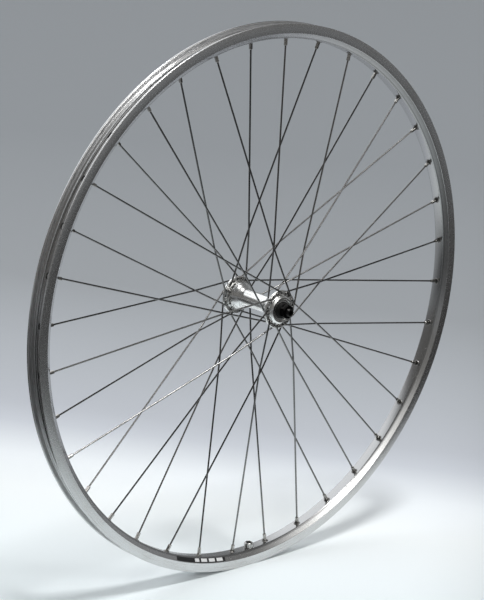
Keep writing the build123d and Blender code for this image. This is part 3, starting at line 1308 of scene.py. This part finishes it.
@dataclass
class Hub(Wheel):
    """The hub shell with its two drilled flanges, and the dust caps in its ends."""

    barrel: float = 9.747
    half_barrel: float = 15.0
    bell: float = 16.33
    bell_start: float = 29.9
    dome: float = 16.83
    dome_edge: float = 0.3
    dome_rise: float = 1.4
    end_radius: float = 14.33
    end: float = 39.8
    bore: float = 7.197
    cup: float = 11.43
    cap: float = 12.63
    cap_start: float = 36.2
    cap_end: float = 39.0
    cap_bore: float = 9.5
    cap_wall: float = 0.8
    cap_fit: float = 0.02
    cap_roll: float = 1.2
    cap_dip: float = 0.25
    cap_step: float = 0.2
    hole: float = 1.4
    sink_depth: float = 0.5
    drill_reach: float = 1.0
    drill_steps: int = 24
    shell_steps: int = 144

    def outline(self) -> list[Corner]:
        """Draw the shell's section.

        Returns:
            Its corners, out to the far end and back through the bore, then the same on the near side.
        """
        cup_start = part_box("bearing_cup_far")[0].y / MM
        climb = self.bell - self.barrel
        length = self.bell_start - self.half_barrel
        curve = (length**2 + climb**2) / (4 * climb)
        lead = curve * tan(asin(length / 2 / curve) / 2)
        far = [
            (self.barrel, self.half_barrel + lead, curve),
            (self.bell, self.bell_start - lead, curve),
            (self.bell, self.flange_inside, 0.9),
            (self.flange, self.flange_inside, 0.9),
            (self.flange, self.flange_outside, 0.9),
            (self.dome, self.flange_outside, 0.9),
            (self.dome - self.dome_edge, self.flange_outside + self.dome_rise, 1.5),
            (self.end_radius, self.end, 0.6),
            (self.cap, self.end, 0.25),
            (self.cap, self.cap_start, 0),
            (self.cup, self.cap_start, 0),
            (self.cup, cup_start, 0),
            (self.bore, cup_start, 0),
        ]
        return both_sides(far)

    def build(self) -> None:
        """Make the shell and the dust caps and dress them."""
        shell = Bench.turned("hub_body", self.outline(), Line.AXLE, self.shell_steps)
        middle = (self.flange_inside + self.flange_outside) / 2
        half = (self.flange_outside - self.flange_inside) / 2
        sink = self.hole + self.sink_depth
        clear = half + self.drill_reach
        drill_line = [
            (0, -clear, 0),
            (sink + self.drill_reach, -clear, 0),
            (sink, -half, 0),
            (self.hole, -half + self.sink_depth, 0),
            (self.hole, half - self.sink_depth, 0),
            (sink, half, 0),
            (sink + self.drill_reach, clear, 0),
            (0, clear, 0),
        ]
        drill = Bench.turned("drill", drill_line, Line.AXLE, self.drill_steps)
        places = []
        for side, first in ((Side.NEAR, 0), (Side.FAR, 1)):
            shift = Matrix.Translation((0, side.value * middle * MM, self.hole_circle * MM))
            places += [turn @ shift for turn in self.spoke_turns()[first::2]]
        Bench.shape(shell, Bench.scattered(drill, "drills", places), Cut.AWAY)
        Bench.smooth(shell)
        hand_over(shell, HubAlloy(), Body.WHEEL, "hub_alloy", "hub_shell")
        for side in Side:
            self.build_cap(side)

    def build_cap(self, side: Side) -> None:
        """Make one dust cap, a dished ring with a rolled inner edge.

        Args:
            side: the end that it closes.
        """
        corners = [
            (self.cap - self.cap_fit, self.cap_start, 0),
            (self.cap - self.cap_fit, self.cap_end, 0.5),
            (self.cap_bore + self.cap_roll, self.cap_end - self.cap_dip, 0.8),
            (self.cap_bore, self.cap_end, 0.3),
            (self.cap_bore, self.cap_end - self.cap_wall, 0.2),
            (self.cap - self.cap_wall, self.cap_end - self.cap_wall - self.cap_step, 0.3),
            (self.cap - self.cap_wall, self.cap_start, 0),
        ]
        cap = end_ring("cap_dish", corners, side)
        Bench.smooth(cap)
        hand_over(cap, HubAlloy(), Body.WHEEL, "hub_alloy", f"dust_cap_{side.word}")


@dataclass
class AxleEnds:
    """The axle, with a seal and a locknut at each end."""

    seal: float = 9.6
    seal_end: float = 8.7
    seal_start: float = 39.4
    seal_neck: float = 7.4
    seal_lip: float = 1.0
    seal_groove: float = 0.55
    seal_ridge: float = 0.5
    seal_step: float = 0.3
    ridge_end: float = 1.6
    ridge_foot: float = 2.4
    nut_start: float = 44.0
    nut_end: float = 50.0
    nut_flat: float = 7.5
    nut_chamfer: float = 0.8
    nut_slope: float = 1.3
    nut_blunting: float = 0.05
    nut_back: float = 0.3
    nut_face: float = 0.25
    nut_ease: float = 0.15
    ease_angle: float = 28.0
    thread: float = 4.175
    countersink: float = 0.6
    stub: float = 4.5
    half_axle: float = 54.0
    waist: float = 3.875
    half_waist: float = 26.0
    skewer_bore: float = 2.6
    thread_pitch: float = 1.0
    thread_depth: float = 0.28
    groove_share: float = 0.1
    crest_start: float = 0.45
    crest_end: float = 0.65
    thread_stop: float = 1.0
    thread_foot: float = 0.95
    tip_step: float = 0.15
    tip_length: float = 0.6
    tip_chamfer: float = 0.7
    bore_chamfer: float = 0.35
    axle_steps: int = 72

    def build(self) -> None:
        """Make the pieces at both ends and the axle, and dress them."""
        for side in Side:
            self.build_seal(side)
            self.build_locknut(side)
        self.build_axle()

    def build_seal(self, side: Side) -> None:
        """Make one rubber boot with a lip and two ribs.

        Args:
            side: the end that it is on.
        """
        rib = (self.nut_start - self.seal_start - self.seal_lip) / 4
        first = self.seal_start + self.seal_lip
        corners = [
            (self.seal_neck, self.seal_start, 0),
            (self.seal, self.seal_start, 0.3),
            (self.seal, first, 0.3),
            (self.seal - self.seal_groove, first + self.seal_step, 0.25),
            (self.seal - self.seal_ridge, first + rib * self.ridge_end, 0.3),
            (self.seal_end, first + rib * self.ridge_foot, 0.4),
            (self.seal_end, self.nut_start, 0.25),
            (self.seal_neck, self.nut_start, 0),
        ]
        boot = end_ring("seal_boot", corners, side)
        Bench.smooth(boot)
        hand_over(boot, SealRubber(), Body.AXLE_SET, "seal_rubber", f"seal_{side.word}")

    def build_locknut(self, side: Side) -> None:
        """Make one six-sided locknut with a chamfered, countersunk face.

        Args:
            side: the end that it is on.
        """
        corner = self.nut_flat / cos(pi / 6)
        bare = corner - self.nut_blunting
        corners = [
            (self.thread, self.nut_start, 0),
            (bare - self.nut_back, self.nut_start, 0),
            (bare, self.nut_start + self.nut_back, 0),
            (bare, self.nut_end - self.nut_chamfer * self.nut_slope, 0),
            (self.nut_flat - self.nut_face, self.nut_end, 0.2),
            (self.thread + self.countersink, self.nut_end, 0.1),
            (self.thread, self.nut_end - self.countersink, 0),
        ]
        nut = end_ring("lock_hex", corners, side)
        Bench.flatten_round(nut, "Y", 6, self.nut_flat)
        Bench.ease(nut, self.nut_ease, self.ease_angle)
        Bench.smooth(nut, angle=30)
        hand_over(nut, BlackSteel(), Body.AXLE_SET, "black_steel", f"locknut_{side.word}")

    def thread_line(self, start: float, end: float) -> list[Corner]:
        """Draw the thread's ridges on one end of the axle.

        Args:
            start: where the thread starts along the axle.
            end: where it ends.

        Returns:
            The ridges' corners.
        """
        ridges = []
        for number in range(round((end - start) / self.thread_pitch)):
            low = start + number * self.thread_pitch
            ridges.append((self.stub - self.thread_depth, low + self.thread_pitch * self.groove_share, 0))
            ridges.append((self.stub, low + self.thread_pitch * self.crest_start, 0))
            ridges.append((self.stub, low + self.thread_pitch * self.crest_end, 0))
        return ridges

    def build_axle(self) -> None:
        """Make the hollow axle with threaded ends and a waist."""
        far = [
            (self.waist, self.half_waist, 0),
            (self.thread, self.half_waist, 0),
            (self.thread, self.nut_end, 0),
        ]
        far += self.thread_line(self.nut_end, self.half_axle - self.thread_stop)
        far += [
            (self.stub - self.thread_depth, self.half_axle - self.thread_foot, 0),
            (self.stub - self.tip_step, self.half_axle - self.tip_length, 0),
            (self.stub - self.tip_chamfer, self.half_axle, 0.15),
            (self.skewer_bore + self.bore_chamfer, self.half_axle, 0.1),
            (self.skewer_bore, self.half_axle - self.bore_chamfer, 0),
        ]
        axle = Bench.turned("axle_tube", both_sides(far), Line.AXLE, self.axle_steps)
        Bench.smooth(axle, angle=25)
        hand_over(axle, AxleSteel(), Body.AXLE_SET, "axle_steel", "axle")


def dress_hidden(frame: dict) -> None:
    """Put finishes on the CAD nodes that stay: bearings and spacers.
    """
    finishes = {
        "bearing_cup": BearingSteel(),
        "balls": BearingSteel(),
        "cone": BearingSteel(),
        "spacer": BlackSteel(),
    }
    for name, node in frame["nodes"].items():
        for start, finish in finishes.items():
            if name.startswith(start):
                finish.dress(node)
                LOG.info("%s keeps its CAD shape", name)


@dataclass(frozen=True)
class FloorPaintedLight(Finish):
    """A floor painted with light and shade: a painted pool of light round the wheel that greys with
    distance in front of it and behind it, and painted shade for a dim room at its sides.
    """

    azimuth: float
    slant: float = 0.14
    widening: float = 0.6
    narrowest: float = 0.6
    right_edge: tuple[float, float] = (0.18, 0.64)
    left_edge: tuple[float, float] = (0.29, 0.54)
    # painted shade: the dim room's floor at the sides and far off, darker far to the right and lighter
    # behind to the left
    dim: Colour = (0.034, 0.033, 0.032)
    far: Colour = (0.25, 0.26, 0.27)
    painted_shade_far_right: Colour = (0.16, 0.165, 0.17)
    painted_light_behind_left: Colour = (0.42, 0.435, 0.45)
    grey: Colour = (0.5, 0.5, 0.5)
    grain: float = 2.5
    grain_share: float = 0.04
    rough: float = 0.95
    start: float = -0.7
    reach: float = 6.5
    # painted light: the floor's colour by distance ahead, lightest round the wheel as a painted pool of
    # light and greyer further off as painted falloff
    painted_light_tones: tuple[tuple[float, Colour], ...] = (
        (-0.7, (0.16, 0.165, 0.17)),
        (-0.5, (0.24, 0.25, 0.26)),
        (-0.36, (0.55, 0.585, 0.60)),
        (-0.22, (0.88, 0.95, 0.97)),
        (0.0, (0.92, 0.98, 1.0)),
        (0.16, (0.95, 0.99, 1.0)),
        (0.28, (0.90, 0.94, 0.97)),
        (0.42, (0.60, 0.63, 0.68)),
        (0.50, (0.52, 0.545, 0.59)),
        (0.66, (0.47, 0.495, 0.53)),
        (1.2, (0.33, 0.348, 0.368)),
        (2.5, (0.278, 0.295, 0.313)),
        (5.8, (0.266, 0.282, 0.298)),
    )

    def surface(self, shader: Shader) -> Value:
        """Draw the surface.

        Args:
            shader: the tree to draw in.

        Returns:
            The finished surface.
        """
        x, y, _ = shader.parts(shader.place())
        turn = radians(self.azimuth)
        aside = x * cos(turn) + y * sin(turn)
        ahead = x * -sin(turn) + y * cos(turn)
        away = ahead + aside * self.slant
        stops = [((place - self.start) / self.reach, tone) for place, tone in self.painted_light_tones]
        # the painted pool of light round the wheel
        painted_pool = shader.add("ValToRGB", {"stops": stops}, {0: (away - self.start) / self.reach})
        wide = aside / (ahead * self.widening + 1).most(self.narrowest)
        # painted shade of a dim room at the floor's sides, greyer far off, darker far right and lighter
        # behind left
        painted_dark_sides = wide.rise(*self.right_edge) + (0 - wide).rise(*self.left_edge)
        distance = (x * x + y * y).root()
        far = shader.mixed(aside.rise(0.5, 1.5) * away.rise(-0.38, -0.05), self.far, self.painted_shade_far_right)
        room = shader.mixed(distance.rise(1.2, 3.8), self.dim, far)
        room = shader.mixed((0 - aside).rise(0.3, 0.6) * ahead.rise(0.06, 0.28), room, self.painted_light_behind_left)
        paint = shader.mixed(painted_dark_sides, painted_pool, room)
        paint = shader.mixed(shader.grain(self.grain) * self.grain_share, paint, self.grey)
        return shader.coat(Base_Color=paint, Roughness=self.rough, Specular_IOR_Level=0.0)


@dataclass(frozen=True)
class Window:
    """A bright soft patch of the room, with its edge and its core in degrees from its middle."""

    direction: Colour
    edge: float
    core: float
    tone: Colour

    def shine(self, shader: Shader, parts: tuple[Value, ...], sky: Value) -> Value:
        """Lay the window over the sky.

        Args:
            shader: the room's tree.
            parts: the x, y and z of the direction looked in.
            sky: the room so far.

        Returns:
            The room with the window.
        """
        towards = Vector(self.direction).normalized()
        facing = parts[0] * towards.x + parts[1] * towards.y + parts[2] * towards.z
        return shader.mixed(facing.rise(cos(radians(self.edge)), cos(radians(self.core))), sky, self.tone)


@dataclass
class Studio:
    """The floor, the lights and the camera that matches the photograph."""

    floor_height: float = -317.0
    floor_size: float = 80.0
    azimuth: float = -43.895
    elevation: float = 15.009
    roll: float = 4.148
    distance: float = 2.419
    image_height: int = 600
    focal_pixels: float = 2138.954
    shift_right: float = 16.169
    shift_down: float = 1.757
    sensor: float = 36.0
    view_end: float = 200.0
    key_strength: float = 1.55
    key_breadth: float = 13.0
    key_direction: Colour = (-0.05, -0.25, 1.0)
    front: Colour = (0.15, 0.146, 0.14)
    behind: Colour = (0.28, 0.29, 0.30)
    overhead: Colour = (0.09, 0.092, 0.095)
    windows: tuple[Window, ...] = (
        Window((0.01, 0.79, 0.62), 41, 25, (1.50, 1.54, 1.58)),
        Window((0.09, -0.834, 0.545), 32, 8, (1.20, 1.20, 1.18)),
        Window((0.09, -0.834, 0.545), 8, 4, (9.0, 9.0, 8.9)),
    )

    def build(self) -> None:
        """Set the stage."""
        bpy.context.scene.view_settings.view_transform = "Standard"
        self.lay_floor()
        self.hang_key()
        self.fill_world()
        self.place_camera()

    def lay_floor(self) -> None:
        """Lay the floor under the wheel."""
        Bench.pick()
        bpy.ops.mesh.primitive_plane_add(size=self.floor_size, location=(0, 0, self.floor_height * MM))
        floor = bpy.context.object
        floor.name = "floor"
        # the floor's colour holds a painted pool of light and painted shade
        FloorPaintedLight(self.azimuth).dress(floor)

    def hang_key(self) -> None:
        """Light the stage evenly from above and in front, from a broad soft source."""
        lamp = bpy.data.lights.new("key_light", "SUN")
        lamp.energy = self.key_strength
        lamp.angle = radians(self.key_breadth)
        holder = bpy.data.objects.new("key_light", lamp)
        holder.rotation_euler = Vector(self.key_direction).to_track_quat("Z", "Y").to_euler()
        bpy.context.collection.objects.link(holder)

    def fill_world(self) -> None:
        """Surround the stage with a dim room that is lighter behind the wheel and has soft windows."""
        world = bpy.data.worlds.new("room")
        bpy.context.scene.world = world
        world.use_nodes = True
        shader = Shader(world.node_tree)
        x, y, z = shader.parts(shader.add("TexCoord", {}, {}, output=0))
        turn = radians(self.azimuth)
        backwards = (x * -sin(turn) + y * cos(turn)).rise(-0.2, 0.75)
        room = shader.mixed(backwards, self.front, self.behind)
        sky = shader.mixed(z.rise(0.35, 0.9), room, self.overhead)
        for window in self.windows:
            sky = window.shine(shader, (x, y, z), sky)
        shader.close(shader.add("Background", {}, {"Color": sky, "Strength": 1.0}), "OutputWorld")

    def place_camera(self) -> None:
        """Put the camera where the photograph was taken from."""
        turn = radians(self.azimuth)
        lift = radians(self.elevation)
        back = Vector((sin(turn) * cos(lift), -cos(turn) * cos(lift), sin(lift)))
        right = Vector((0, 0, 1)).cross(back).normalized()
        up = back.cross(right)
        lean = radians(self.roll)
        right_leant = right * cos(lean) + up * sin(lean)
        up_leant = up * cos(lean) - right * sin(lean)
        eye = bpy.data.cameras.new("camera")
        eye.sensor_fit = "AUTO"
        eye.sensor_width = self.sensor
        eye.lens = self.focal_pixels * self.sensor / self.image_height
        eye.shift_x = -self.shift_right / self.image_height
        eye.shift_y = self.shift_down / self.image_height
        eye.clip_end = self.view_end
        camera = bpy.data.objects.new("camera", eye)
        axes = Matrix((right_leant, up_leant, back)).transposed().to_4x4()
        camera.matrix_world = Matrix.Translation(back * self.distance) @ axes
        bpy.context.collection.objects.link(camera)
        bpy.context.scene.camera = camera


def main() -> None:
    """Load the frame, build every sub-assembly over it and set the stage."""
    logging.basicConfig(level=logging.INFO, format="%(name)s: %(message)s")
    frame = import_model()
    for assembly in (Hoop(), Lacing(), ValveCollar(), Hub(), AxleEnds()):
        assembly.build()
    dress_hidden(frame)
    Studio().build()


if __name__ == "__main__":
    main()
